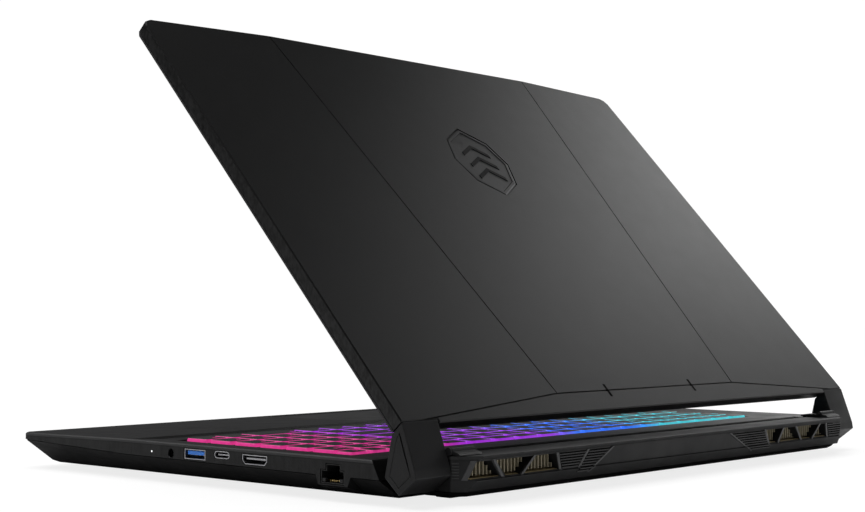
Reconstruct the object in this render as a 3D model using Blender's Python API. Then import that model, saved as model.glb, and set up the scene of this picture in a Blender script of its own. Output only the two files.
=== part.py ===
"""A 15.6-inch gaming laptop computer, open at 47.6 degrees, built piece by piece.

Frame: +X is the user's right, -Y the user's side, +Z up. The origin is the centre of the
base's footprint, on the surface that the feet stand on. Lengths here are millimetres;
mm() turns them into Blender's metres.

The lid's pieces are drawn as they lie when the lid is shut, with the hinge axis as their
origin: y runs from the hinge towards the user as negative numbers, and z = 0 is the axis.
An empty on the axis then swings them open.
"""
import math

import bmesh
import bpy
from mathutils import Vector

# ---- driving dimensions -------------------------------------------------------------
HALF_WIDTH = 179.5
FRONT_Y = -129.5
GAP = 0.3                     # air between pieces that touch on the real machine

SHELL_BOTTOM_Z = 2.6
SHELL_KNEE_Z = 3.7            # the bottom cover's sides slope down to here
SHELL_FLOOR_Z = 4.2           # top of the bottom cover's floor
SHELL_REAR_Z = 4.6            # rim of the bottom cover under the vent panel
SHELL_WALL = 1.7

DECK_Z = 17.5
DECK_FRONT_Z = 16.4           # the palm rest slopes down to this at the front edge
DECK_CEILING_Z = 13.7         # underside of the deck
SKIRT_WALL = 1.8              # thickness of the deck's side band
PALM_CREASE_Y = -50.0         # crease between the palm rest and the keyboard area
DECK_END_Y = 97.0             # rear end of the deck between the hinge notches
NOTCH_X = 157.6               # the hinge notches are outboard of this
NOTCH_TOP_Y = 99.8            # front end of the notches, at the deck
NOTCH_LOW_Y = 103.4           # and at the band's lower edge
KEY_FLOOR_Z = 16.45           # sunken area round the keys
PORT_POCKET_Z = 16.1          # roof of the pockets over the sockets

BAND_FRONT_Z = 13.3           # lower edge of the side band at the front corner
BAND_CREASE_Z = 10.9          # and beside the palm rest's crease
BAND_LOW_Z = 10.1
TAB_Z = 6.2                   # the right-hand band dips round the network socket
TAB_Y = (69.2, 70.7, 86.8, 88.3)

HINGE_Y = 119.2
HINGE_Z = 20.5
LID_ANGLE = math.radians(47.63)
LID_HALF_WIDTH = 178.5
LID_INNER_Z = -2.57           # screen side of the shut lid
LID_SEAM_Z = -1.37            # rear face of the screen's bezel
LID_OUTER_Z = 4.43            # outer face of the shut lid
LID_TOP_Y = -248.7            # the lid's far edge
LID_END_OUTER_Y = -10.8       # its slanted lower edge between the legs, at the outer face
LID_END_INNER_Y = -12.5       # and at the screen side
LEG_SEAM_Y = -12.4            # where the legs meet the lid
LEG_INNER_X = 158.0
PIN_RADIUS = 0.75
BORE_RADIUS = 1.05
KNUCKLE_RADIUS = 1.5

KEY_TOP_Z = 17.55
KEY_WEB_Z = 15.2
KEY_BOTTOM_Z = 14.2
KEY_GAP = 2.5
KEY_DEPTH = 13.45
KEY_ROW_PITCH = 15.95
KEY_FRONT_Y = -35.2
KEY_LEFT_X = -153.5
KEY_UNIT = 16.5               # one key's pitch in the main block
NUMPAD_LEFT_X = 95.6
NUMPAD_PITCH = 16.1
STRIP_FRONT_Y = 60.5          # half-height keys along the rear
STRIP_REAR_Y = 69.8
STRIP_PITCH = 17.1
POWER_KEY_X = (149.4, 160.0)

TOUCHPAD = (-82.0, -120.5, 24.0, -53.0)   # left, front, right, rear
SCREEN_WINDOW = (-172.5, -238.0, 172.5, -44.5)
FAN_CENTRE = (110.0, 68.0)
FAN_BLADES = 11
FIN_PITCH = 2.2
FIN_WIDTH = 0.8


def mm(*values):
    """A vector in metres from millimetres."""
    return Vector(values) * 0.001


# ---- materials ----------------------------------------------------------------------
# colour, roughness, metallic
PALETTE = {
    "casing_black": ((0.030, 0.030, 0.033), 0.45, 0.0),
    "casing_dark": ((0.018, 0.018, 0.020), 0.50, 0.0),
    "lid_metal": ((0.026, 0.026, 0.029), 0.36, 0.3),
    "bezel_black": ((0.012, 0.012, 0.013), 0.55, 0.0),
    "screen_glass": ((0.004, 0.004, 0.005), 0.12, 0.0),
    "keycap_black": ((0.015, 0.015, 0.017), 0.50, 0.0),
    "foot_rubber": ((0.012, 0.012, 0.012), 0.85, 0.0),
    "socket_steel": ((0.50, 0.50, 0.51), 0.30, 1.0),
    "bracket_steel": ((0.30, 0.30, 0.31), 0.35, 1.0),
    "heat_copper": ((0.72, 0.36, 0.20), 0.30, 1.0),
    "fin_bronze": ((0.42, 0.31, 0.16), 0.38, 1.0),
    "board_green": ((0.010, 0.060, 0.030), 0.50, 0.0),
    "cell_wrap": ((0.020, 0.020, 0.022), 0.60, 0.0),
    "module_dark": ((0.050, 0.050, 0.055), 0.40, 0.0),
    "socket_black": ((0.010, 0.010, 0.011), 0.50, 0.0),
    "badge_gloss": ((0.020, 0.020, 0.022), 0.22, 0.5),
}


def material(name):
    found = bpy.data.materials.get(name)
    if found:
        return found
    colour, roughness, metallic = PALETTE[name]
    made = bpy.data.materials.new(name)
    made.use_nodes = True
    shader = made.node_tree.nodes["Principled BSDF"]
    shader.inputs["Base Color"].default_value = (*colour, 1.0)
    shader.inputs["Roughness"].default_value = roughness
    shader.inputs["Metallic"].default_value = metallic
    made.diffuse_color = (*colour, 1.0)
    return made


# ---- outlines -----------------------------------------------------------------------
def rectangle(x0, y0, x1, y1):
    return [(x0, y0), (x1, y0), (x1, y1), (x0, y1)]


def circle(cx, cy, radius, count):
    turn = 2 * math.pi / count
    return [(cx + radius * math.cos(i * turn), cy + radius * math.sin(i * turn)) for i in range(count)]


def inset(points, distance):
    """A closed outline moved inwards by a distance, corner for corner."""
    count = len(points)
    area = sum(
        points[i - 1][0] * points[i][1] - points[i][0] * points[i - 1][1] for i in range(count)
    )
    side = 1.0 if area > 0 else -1.0
    moved = []
    for i in range(count):
        here = Vector(points[i])
        before = (here - Vector(points[i - 1])).normalized()
        after = (Vector(points[(i + 1) % count]) - here).normalized()
        normal_in = Vector((-before.y, before.x)) * side
        normal_out = Vector((-after.y, after.x)) * side
        bisector = normal_in + normal_out
        moved.append(tuple(here + bisector * (distance / (1.0 + normal_in.dot(normal_out)))))
    return moved


def grown(points, distance):
    return inset(points, -distance)


def ribbon(path, width):
    """The outline of a strip of even width along an open path."""
    left, right = [], []
    for i, point in enumerate(path):
        here = Vector(point)
        before = (here - Vector(path[i - 1])).normalized() if i else None
        after = (Vector(path[i + 1]) - here).normalized() if i < len(path) - 1 else None
        before = before or after
        after = after or before
        normal_in = Vector((-before.y, before.x))
        normal_out = Vector((-after.y, after.x))
        reach = (normal_in + normal_out) * (width / 2 / (1.0 + normal_in.dot(normal_out)))
        left.append(tuple(here + reach))
        right.append(tuple(here - reach))
    return left + right[::-1]


def flipped(outline):
    """The same outline on the other side of x = 0."""
    return [(-x, y) for x, y in outline]


# ---- solids -------------------------------------------------------------------------
def to_object(name, bm, finish=None, parent=None):
    """Turns a bmesh into a linked object with its faces pointing out."""
    bmesh.ops.recalc_face_normals(bm, faces=bm.faces)
    mesh = bpy.data.meshes.new(name)
    bm.to_mesh(mesh)
    bm.free()
    made = bpy.data.objects.new(name, mesh)
    bpy.context.scene.collection.objects.link(made)
    if finish:
        mesh.materials.append(material(finish))
    if parent:
        made.parent = parent
    return made


def place(axis, a, b, along):
    """A point from two outline coordinates and a distance along the extrusion axis."""
    if axis == "X":
        return mm(along, a, b)
    if axis == "Y":
        return mm(a, along, b)
    return mm(a, b, along)


def add_prism(bm, outline, axis, start, stop):
    low = [bm.verts.new(place(axis, a, b, start)) for a, b in outline]
    high = [bm.verts.new(place(axis, a, b, stop)) for a, b in outline]
    bm.faces.new(low)
    bm.faces.new(high)
    for i in range(len(outline)):
        j = (i + 1) % len(outline)
        bm.faces.new((low[i], low[j], high[j], high[i]))


def prism(name, outline, axis, start, stop, finish=None, parent=None):
    """An outline extruded along an axis: (y, z) for X, (x, z) for Y, (x, y) for Z."""
    bm = bmesh.new()
    add_prism(bm, outline, axis, start, stop)
    return to_object(name, bm, finish, parent)


def block(name, low, high, finish=None, parent=None):
    """A rectangular block between two corners."""
    outline = rectangle(low[0], low[1], high[0], high[1])
    return prism(name, outline, "Z", low[2], high[2], finish, parent)


def loft(name, loops, finish=None, parent=None, end_faces=None):
    """Joins a row of equal loops of (x, y, z) points and closes both ends.

    end_faces lists the last loop's faces by their corners' numbers, if it isn't flat.
    """
    bm = bmesh.new()
    rows = [[bm.verts.new(mm(*point)) for point in loop] for loop in loops]
    count = len(loops[0])
    for lower, upper in zip(rows, rows[1:]):
        for i in range(count):
            j = (i + 1) % count
            bm.faces.new((lower[i], lower[j], upper[j], upper[i]))
    bm.faces.new(rows[0])
    for face in end_faces or [range(count)]:
        bm.faces.new([rows[-1][corner] for corner in face])
    return to_object(name, bm, finish, parent)


def at_height(outline, z):
    return [(x, y, z) for x, y in outline]


def combine(target, tool, operation):
    tool.hide_render = True
    tool.display_type = "WIRE"
    step = target.modifiers.new(tool.name, "BOOLEAN")
    step.operation = operation
    step.solver = "EXACT"
    step.object = tool


def cut(target, tool):
    """Takes a cutter away from the target; the cutter stays as a hidden wire shape."""
    combine(target, tool, "DIFFERENCE")


def join(target, tool):
    """Adds a second solid that overlaps the target."""
    combine(target, tool, "UNION")


def carve(target, name, pieces):
    """Cuts several separate prisms, each (outline, axis, start, stop), in one step."""
    bm = bmesh.new()
    for outline, axis, start, stop in pieces:
        add_prism(bm, outline, axis, start, stop)
    cut(target, to_object(name, bm, parent=target.parent))


def centre_origin(made):
    """Puts the object's origin in the middle of its bounding box."""
    corners = [Vector(corner) for corner in made.bound_box]
    middle = (corners[0] + corners[6]) / 2
    for vertex in made.data.vertices:
        vertex.co -= middle
    made.location = middle


def sides():
    return ((1, "right"), (-1, "left"))


def across(side, x0, x1):
    """An x range on one side of the machine, in rising order."""
    return sorted((side * x0, side * x1))


# ---- base casing --------------------------------------------------------------------
def band_edge(tab):
    """(y, z) of the side band's lower edge, from the front corner rearwards."""
    low = TAB_Z if tab else BAND_LOW_Z
    return [(PALM_CREASE_Y, BAND_CREASE_Z)] + list(zip(TAB_Y, (BAND_LOW_Z, low, low, BAND_LOW_Z)))


def half_level(edge_x, front_y, corner, notch_y, rear, tab):
    """One side of a level of the base in plan, with the band's height at each point."""
    points = [(edge_x - corner, front_y, BAND_FRONT_Z), (edge_x, front_y + corner, BAND_FRONT_Z)]
    points += [(edge_x, y, z) for y, z in band_edge(tab)]
    points += [(edge_x, notch_y, BAND_LOW_Z), (rear[0][0], notch_y, BAND_LOW_Z)]
    return points + list(rear)


def full_level(edge_x, front_y, corner, notch_y, rear):
    right = half_level(edge_x, front_y, corner, notch_y, rear, True)
    left = half_level(edge_x, front_y, corner, notch_y, rear, False)
    return right + [(-x, y, z) for x, y, z in reversed(left)]


def plan(level):
    return [(x, y) for x, y, _ in level]


def shift_z(level, offset):
    return [(x, y, z + offset) for x, y, z in level]


def inner_level(level, distance):
    moved = inset(plan(level), distance)
    return [(x, y, point[2]) for (x, y), point in zip(moved, level)]


def build_lower_shell():
    rim_z = SHELL_REAR_Z + GAP
    rim = full_level(
        179.2, -129.2, 4.2, 103.1,
        [(157.4, 104.4, rim_z), (156.9, 119.4, rim_z), (150.4, 123.4, rim_z)],
    )
    rim = shift_z(rim, -GAP)
    knee = full_level(
        172.0, -117.3, 3.2, 106.0,
        [(157.0, 107.2, 0), (156.4, 118.6, 0), (149.9, 122.6, 0)],
    )
    foot = full_level(
        169.6, -114.8, 3.0, 104.8,
        [(155.0, 106.0, 0), (154.4, 117.2, 0), (148.6, 120.8, 0)],
    )
    floor = at_height(inset(plan(knee), SHELL_WALL), SHELL_FLOOR_Z)
    shell = loft(
        "lower_shell",
        [
            floor,
            inner_level(rim, SHELL_WALL),
            rim,
            at_height(plan(knee), SHELL_KNEE_Z),
            at_height(plan(foot), SHELL_BOTTOM_Z),
        ],
        "casing_dark",
    )
    slots = []
    for side, _ in sides():
        x0, x1 = across(side, FAN_CENTRE[0] - 24, FAN_CENTRE[0] + 24)
        for row in range(6):
            y = 46.0 + row * 8.0
            slots.append((rectangle(x0, y, x1, y + 3.4), "Z", 1.5, 5.0))
    carve(shell, "intake_slots", slots)


def socket_outline(kind):
    """Outer outlines of the sockets in (y, z)."""
    if kind == "ethernet":
        return grown(
            [
                (72.5, 7.3), (84.4, 7.3), (84.4, 11.8), (82.4, 11.8),
                (82.4, 14.2), (75.4, 14.2), (75.4, 11.8), (72.5, 11.8),
            ],
            0.4,
        )
    if kind == "hdmi":
        return [(27.9, 11.3), (39.6, 11.3), (41.2, 12.9), (41.2, 15.4), (26.3, 15.4), (26.3, 12.9)]
    if kind == "usb_c":
        ends = [circle(centre, 14.2, 1.6, 16) for centre in (16.9, 10.6)]
        return ends[0][12:] + ends[0][:5] + ends[1][4:13]
    if kind == "usb_a_right":
        return rectangle(-10.1, 11.2, 3.3, 15.6)
    if kind == "usb_a_left_front":
        return rectangle(20.0, 11.2, 33.4, 15.6)
    if kind == "usb_a_left_rear":
        return rectangle(46.0, 11.2, 59.4, 15.6)
    return rectangle(73.6, 11.4, 86.0, 15.6)


RIGHT_SOCKETS = ("usb_a_right", "usb_c", "hdmi", "ethernet")
LEFT_SOCKETS = ("usb_a_left_front", "usb_a_left_rear", "power")
AUDIO_JACK = (-18.9, 13.0)


def build_upper_deck():
    rear = [(NOTCH_X, DECK_END_Y, DECK_CEILING_Z - 0.5)]
    rim = full_level(HALF_WIDTH, FRONT_Y, 4.2, NOTCH_LOW_Y, rear)
    top_plan = plan(full_level(HALF_WIDTH, FRONT_Y, 4.2, NOTCH_TOP_Y, rear))
    slope = (DECK_Z - DECK_FRONT_Z) / (PALM_CREASE_Y - FRONT_Y)

    def top_z(y):
        return min(DECK_Z, DECK_FRONT_Z + slope * (y - FRONT_Y))

    lip = [(x, y, top_z(y) - 0.5) for x, y in top_plan]
    top = [(x, y, top_z(y)) for x, y in inset(top_plan, 0.5)]
    underside = at_height(inset(plan(rim), SKIRT_WALL), DECK_CEILING_Z)
    last = len(rim) - 1
    palm_rest = [0, 1, 2, last - 2, last - 1, last]
    keyboard_area = list(range(2, last - 1))
    deck = loft(
        "upper_deck",
        [underside, inner_level(rim, SKIRT_WALL), rim, lip, top],
        "casing_black",
        end_faces=[palm_rest, keyboard_area],
    )
    cut(deck, loft("key_area_cut", [
        at_height(rectangle(-162, -47.4, 162, 75), KEY_FLOOR_Z),
        at_height(rectangle(-193.2, -49.35, 193.2, 117), 18.5),
    ]))
    left, front, right, back = TOUCHPAD
    carve(deck, "deck_openings", [
        (rectangle(-155.0, -36.7, 161.5, 71.3), "Z", 10.0, 20.0),
        (rectangle(left - 0.5, front - 0.5, right + 0.5, back + 0.5), "Z", 10.0, 20.0),
    ])
    carve(deck, "socket_pockets", [
        (rectangle(167.6, -24.0, 177.9, 90.0), "Z", 12.0, PORT_POCKET_Z),
        (rectangle(-177.9, 16.0, -167.6, 90.0), "Z", 12.0, PORT_POCKET_Z),
    ])
    windows = [(grown(socket_outline(kind), 0.25), "X", 176.5, 181.5) for kind in RIGHT_SOCKETS]
    windows.append((circle(*AUDIO_JACK, 1.95, 20), "X", 176.5, 181.5))
    windows += [(grown(socket_outline(kind), 0.25), "X", -181.5, -176.5) for kind in LEFT_SOCKETS]
    windows.append((rectangle(90.0, 12.4, 97.0, 15.2), "X", -181.5, -178.4))
    carve(deck, "socket_windows", windows)


def build_rear_vent_panel():
    profile = [
        (97.6, 13.4), (111.6, 13.4), (112.6, 18.8), (129.2, 18.8), (129.5, 18.3), (128.2, 17.2),
        (126.9, 9.6), (127.6, 9.2), (124.6, 4.9), (97.6, 4.9),
    ]
    panel = prism("rear_vent_panel", profile, "X", -157.2, 157.2, "casing_black")
    duct = [(97.0, 4.0), (97.0, 11.8), (113.2, 11.8), (114.2, 17.0), (119.6, 17.0), (119.6, 4.0)]
    cut(panel, prism("vent_duct", duct, "X", -155.4, 155.4))
    corner = [(159.04, 118.0), (146.16, 132.0), (161.0, 132.0), (161.0, 118.0)]
    carve(panel, "vent_corners", [
        (corner, "Z", 3.0, 20.0),
        (flipped(corner), "Z", 3.0, 20.0),
    ])
    shell_corner = rectangle(96.0, 3.0, 105.4, 11.4)
    carve(panel, "shell_clearance", [
        (shell_corner, "X", 155.0, 158.0),
        (shell_corner, "X", -158.0, -155.0),
    ])
    sill, head = 9.9, 16.6
    right = [
        ((135.5, 153.0), (142.2, 150.5)),
        ((123.0, 132.0), (115.5, 139.5)),
        ((97.0, 121.0), (100.5, 113.5)),
    ]
    struts = [(-75.7, -70.0), (-84.5, -88.5), (-108.5, -101.0), (-119.8, -126.5), (-136.4, -133.0)]
    half = 0.9                    # half a strut's width
    left = []
    for (low_a, high_a), (low_b, high_b) in zip(struts, struts[1:]):
        left.append(((low_b + half, low_a - half), (high_b + half, high_a - half)))
    windows = []
    for (low_0, low_1), (high_0, high_1) in right + left:
        outline = [(low_0, sill), (low_1, sill), (high_1, head), (high_0, head)]
        windows.append((outline, "Y", 118.9, 131.0))
    carve(panel, "vent_windows", windows)
    slots = []
    for side, _ in sides():
        x0, x1 = across(side, 144.2, 153.8)
        slots.append((rectangle(x0, 108.2, x1, 111.3), "Z", 11.0, 14.5))
    carve(panel, "bracket_slots", slots)


def build_feet():
    def pad(name, x0, x1, y0, y1):
        outline = [(y0, 2.3), (y0 + 0.7, 0.0), (y1 - 0.7, 0.0), (y1, 2.3)]
        prism(name, outline, "X", x0, x1, "foot_rubber")

    pad("rear_foot", -140, 140, 97, 106)
    for side, word in sides():
        pad(f"front_foot_{word}", *across(side, 95, 140), -109, -101)


# ---- keyboard and touchpad ----------------------------------------------------------
def key_group(name, rows):
    """Keys on one plate: rows of (y0, y1, [(x0, x1), ...]) with their caps standing up.

    The plate fills the gaps between caps, and between rows where both rows have a cap.
    """
    xs = sorted({x for _, _, caps in rows for cap in caps for x in cap})
    ys = sorted({y for y0, y1, _ in rows for y in (y0, y1)})

    def spans(row, x):
        caps = row[2]
        return caps[0][0] < x < caps[-1][1]

    def cell(i, j):
        if not (0 <= i < len(xs) - 1 and 0 <= j < len(ys) - 1):
            return None
        x = (xs[i] + xs[i + 1]) / 2
        y = (ys[j] + ys[j + 1]) / 2
        for row in rows:
            if row[0] < y < row[1]:
                if any(x0 < x < x1 for x0, x1 in row[2]):
                    return KEY_TOP_Z
                return KEY_WEB_Z if spans(row, x) else None
        return KEY_WEB_Z if all(spans(row, x) for row in rows) else None

    bm = bmesh.new()
    verts = {}

    def vert(i, j, z):
        key = (i, j, z)
        if key not in verts:
            verts[key] = bm.verts.new(mm(xs[i], ys[j], z))
        return verts[key]

    levels = (KEY_BOTTOM_Z, KEY_WEB_Z, KEY_TOP_Z)
    for i in range(len(xs) - 1):
        for j in range(len(ys) - 1):
            top = cell(i, j)
            if top is None:
                continue
            square = ((i, j), (i + 1, j), (i + 1, j + 1), (i, j + 1))
            bm.faces.new([vert(a, b, KEY_BOTTOM_Z) for a, b in square])
            bm.faces.new([vert(a, b, top) for a, b in square])
            for edge, (di, dj) in enumerate(((0, -1), (1, 0), (0, 1), (-1, 0))):
                other = cell(i + di, j + dj) or KEY_BOTTOM_Z
                a, b = square[edge], square[(edge + 1) % 4]
                for low, high in zip(levels, levels[1:]):
                    if other <= low and high <= top:
                        bm.faces.new((vert(*a, low), vert(*b, low), vert(*b, high), vert(*a, high)))
    made = to_object(name, bm, "keycap_black")
    centre_origin(made)


def row_y(row):
    front = KEY_FRONT_Y + row * KEY_ROW_PITCH
    return front, front + KEY_DEPTH


def main_caps(start, widths):
    """Caps of the main block from a starting unit and each key's width in units."""
    caps = []
    for width in widths:
        x0 = KEY_LEFT_X + start * KEY_UNIT
        start += width
        caps.append((x0, KEY_LEFT_X + start * KEY_UNIT - KEY_GAP))
    return caps


MAIN_GROUPS = {
    "modifier_keys_left": [(0, 0, (1.25, 1, 1, 1))],
    "space_bar": [(0, 4.25, (5.75,))],
    "modifier_keys_right": [(0, 10, (1, 1))],
    "arrow_keys": [(0, 12, (1, 1, 1)), (1, 13, (1, 1))],
    "shift_keys": [(1, 0, (2,) + (1,) * 11)],
    "home_keys": [(2, 0, (1.75,) + (1,) * 11)],
    "enter_key": [(2, 12.75, (2.25,))],
    "qwerty_keys": [(3, 0, (1.5,) + (1,) * 12 + (1.5,))],
    "number_keys": [(4, 0, (1,) * 13)],
    "backspace_key": [(4, 13, (2,))],
    "esc_key": [(5, 0, (1,))],
    "function_keys": [(5, 1, (1,) * 14)],
}


def build_keyboard():
    for name, rows in MAIN_GROUPS.items():
        key_group(name, [(*row_y(row), main_caps(start, widths)) for row, start, widths in rows])
    columns = [NUMPAD_LEFT_X + i * NUMPAD_PITCH for i in range(4)]
    caps = [(x, x + NUMPAD_PITCH - KEY_GAP) for x in columns]
    wide_zero = [(caps[0][0], caps[1][1]), caps[2], caps[3]]
    key_group("numpad_keys", [(*row_y(row), caps if row else wide_zero) for row in range(6)])
    strip = [KEY_LEFT_X + i * STRIP_PITCH for i in range(18)]
    half_height = [(x, x + STRIP_PITCH - KEY_GAP) for x in strip[:-1]]
    half_height.append((strip[-1], POWER_KEY_X[0] - KEY_GAP))
    key_group("media_keys", [(STRIP_FRONT_Y, STRIP_REAR_Y, half_height)])
    key_group("power_button", [(STRIP_FRONT_Y, STRIP_REAR_Y, [POWER_KEY_X])])
    loft("keyboard_tray", [
        at_height(rectangle(-157.2, -38.9, 163.5, 73.5), 12.7),
        at_height(rectangle(-157.2, -38.9, 163.5, 73.5), 13.4),
        at_height(rectangle(-159.0, -40.7, 165.3, 75.3), 13.4),
        at_height(rectangle(-159.0, -40.7, 165.3, 75.3), 11.7),
    ], "bracket_steel")


def build_touchpad():
    left, front, right, back = TOUCHPAD
    slope = (DECK_Z - DECK_FRONT_Z) / (PALM_CREASE_Y - FRONT_Y)
    top_front = DECK_FRONT_Z + slope * (front - FRONT_Y) - 0.2
    top_back = DECK_FRONT_Z + slope * (back - FRONT_Y) - 0.2
    outline = [(front, top_front - 1.7), (back, top_back - 1.7), (back, top_back), (front, top_front)]
    centre_origin(prism("touchpad", outline, "X", left, right, "casing_dark"))
    frame = block("touchpad_frame", (left - 3, front - 3, 11.6), (right + 3, back + 3, 12.8), "bracket_steel")
    carve(frame, "touchpad_frame_holes", [
        (rectangle(left + 8, front + 8, -33, back - 8), "Z", 11.0, 14.0),
        (rectangle(-25, front + 8, right - 8, back - 8), "Z", 11.0, 14.0),
    ])


# ---- sockets ------------------------------------------------------------------------
def build_socket(name, kind, side, back_x, tongue, wall=0.45, finish="socket_steel"):
    """A metal shell open outwards, with its tongue (outline in y, z) inside."""
    outer = socket_outline(kind)
    inner = inset(outer, wall)
    front, mid, back = side * 179.3, side * (back_x + 1.5), side * back_x
    loops = [
        [(mid, y, z) for y, z in inner],
        [(front, y, z) for y, z in inner],
        [(front, y, z) for y, z in outer],
        [(back, y, z) for y, z in outer],
    ]
    shell = loft(name, loops, finish)
    if tongue:
        start, stop = across(side, back_x + 0.7, 178.4)
        join(shell, prism(f"{name}_tongue", tongue, "X", start, stop))


def build_sockets():
    build_socket("usb_a_port_right", "usb_a_right", 1, 168.5, rectangle(-8.6, 13.2, 1.8, 14.7))
    build_socket("usb_c_port", "usb_c", 1, 169.5, rectangle(10.4, 13.9, 17.1, 14.5))
    build_socket("hdmi_port", "hdmi", 1, 168.5, rectangle(28.0, 13.3, 39.5, 14.1))
    build_socket("ethernet_port", "ethernet", 1, 168.0, None, 0.4, "socket_black")
    build_socket("usb_a_port_left_front", "usb_a_left_front", -1, 168.5, rectangle(21.5, 13.2, 31.9, 14.7))
    build_socket("usb_a_port_left_rear", "usb_a_left_rear", -1, 168.5, rectangle(47.5, 13.2, 57.9, 14.7))
    build_socket("power_jack", "power", -1, 168.5, rectangle(79.0, 12.9, 80.6, 14.1), 0.6, "socket_black")
    y, z = AUDIO_JACK
    jack = block("audio_jack", (168.5, y - 3.6, 10.9), (177.4, y + 3.6, 15.5), "socket_black")
    carve(jack, "audio_jack_bore", [(circle(y, z, 1.75, 20), "X", 170.0, 178.5)])


# ---- inside the base ----------------------------------------------------------------
def build_inside():
    block("battery_pack", (-130, -113, 4.6), (130, -45, 10.8), "cell_wrap")
    board = [
        (-160, -42), (165, -42), (165, 30), (71, 30), (71, 96), (-71, 96), (-71, 30), (-160, 30),
    ]
    prism("mainboard", board, "Z", 7.6, 8.8, "board_green")
    block("processor_block", (-48, 27, 9.1), (-12, 63, 9.9), "heat_copper")
    block("graphics_block", (14, 24, 9.1), (56, 66, 9.9), "heat_copper")
    pipes = {
        "heat_pipe_lower": [(-30, 45), (-52, 92), (-72, 110.5), (-138, 110.5)],
        "heat_pipe_upper": [(35, 45), (55, 92), (75, 110.5), (142, 110.5)],
    }
    for name, path in pipes.items():
        prism(name, ribbon(path, 5.0), "Z", 10.2, 11.4, "heat_copper")
    block("ssd_module", (-110, -36, 9.1), (-30, -14, 11.3), "module_dark")
    block("memory_module", (-20, -36, 9.1), (47.6, -6, 11.3), "module_dark")
    block("wireless_card", (100, -36, 9.1), (130, -14, 11.3), "module_dark")
    for side, word in sides():
        x0, x1 = across(side, 134, 163)
        block(f"speaker_{word}", (x0, -108, 4.6), (x1, -52, 10.3), "module_dark")
        build_fan(side, word)
    build_fins("heatsink_fins_right", 97.0, 152.0)
    build_fins("heatsink_fins_left", -140.0, -66.0)


def build_fan(side, word):
    cx, cy = side * FAN_CENTRE[0], FAN_CENTRE[1]
    housing = block(f"fan_housing_{word}", (cx - 36, cy - 34, 4.7), (cx + 36, cy + 34, 11.3), "module_dark")
    carve(housing, f"fan_throat_{word}", [(circle(cx, cy, 30.0, 28), "Z", 4.0, 12.0)])
    carve(housing, f"fan_outlet_{word}", [(rectangle(cx - 25, cy, cx + 25, cy + 35), "Z", 5.7, 10.3)])
    outline = []
    for blade in range(FAN_BLADES):
        start = blade * 360.0 / FAN_BLADES
        for radius, turn in ((9.0, 0.0), (19.0, 8.0), (28.0, 22.0), (28.0, 26.0), (19.0, 14.0), (9.0, 12.0)):
            angle = math.radians(start + turn)
            outline.append((radius * math.cos(angle), radius * math.sin(angle)))
    rotor = prism(f"fan_rotor_{word}", outline, "Z", -2.2, 2.2, "casing_dark")
    rotor.location = mm(cx, cy, 8.0)


def build_fins(name, x0, x1):
    """Upright fins on a common foot, open to the air that crosses them along Y."""
    outline = [(x0, 5.0)]
    count = int((x1 - x0 - FIN_WIDTH) / FIN_PITCH) + 1
    outline.append((x0 + (count - 1) * FIN_PITCH + FIN_WIDTH, 5.0))
    for i in reversed(range(count)):
        x = x0 + i * FIN_PITCH
        outline += [(x + FIN_WIDTH, 16.6), (x, 16.6)]
        if i:
            outline += [(x, 6.0), (x - FIN_PITCH + FIN_WIDTH, 6.0)]
    prism(name, outline, "Y", 114.8, 119.2, "fin_bronze")


def build_hinge_bracket(side, word):
    arc = []
    for step in range(9):
        angle = math.pi * step / 8
        arc.append((HINGE_Y + KNUCKLE_RADIUS * math.cos(angle), HINGE_Z + KNUCKLE_RADIUS * math.sin(angle)))
    hump = [(108.4, 19.1), (124.4, 19.1), (123.2, 20.0)] + arc + [(113.0, 20.3), (109.2, 20.0)]
    bracket = prism(f"hinge_bracket_{word}", hump, "X", *across(side, 143.0, 156.6), "bracket_steel")
    arm = [(103.0, 4.6), (110.9, 4.6), (110.9, 19.6), (108.7, 19.6), (108.7, 6.2), (103.0, 6.2)]
    join(bracket, prism(f"bracket_arm_{word}", arm, "X", *across(side, 145.0, 153.0)))
    bore = circle(HINGE_Y, HINGE_Z, BORE_RADIUS, 16)
    cut(bracket, prism(f"bracket_bore_{word}", bore, "X", *across(side, 142.0, 158.0)))


# ---- lid ----------------------------------------------------------------------------
def lid_level(z, edge=0.0, closed_end=None):
    """The lid's outline at a height, moved in by edge; the lower end slants with height."""
    share = (z - LID_INNER_Z) / (LID_OUTER_Z - LID_INNER_Z)
    end_y = LID_END_INNER_Y + share * (LID_END_OUTER_Y - LID_END_INNER_Y)
    right = [
        (99.4, LID_TOP_Y), (173.5, -244.9), (176.9, -243.2), (LID_HALF_WIDTH, -240.0),
        (LID_HALF_WIDTH, LEG_SEAM_Y - GAP), (157.7, LEG_SEAM_Y - GAP), (157.7, end_y),
    ]
    outline = right + [(-x, y) for x, y in reversed(right)]
    return at_height(inset(outline, edge) if edge else outline, z)


def badge_outline(scale=1.0):
    """An elongated hexagon in the middle of the lid."""
    centre_y = -171.4
    points = [(0, -24.5), (16, -15), (21.5, 0), (16, 15), (0, 24.5), (-16, 15), (-21.5, 0), (-16, -15)]
    return [(x * scale, centre_y + y * scale) for x, y in points]


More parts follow.
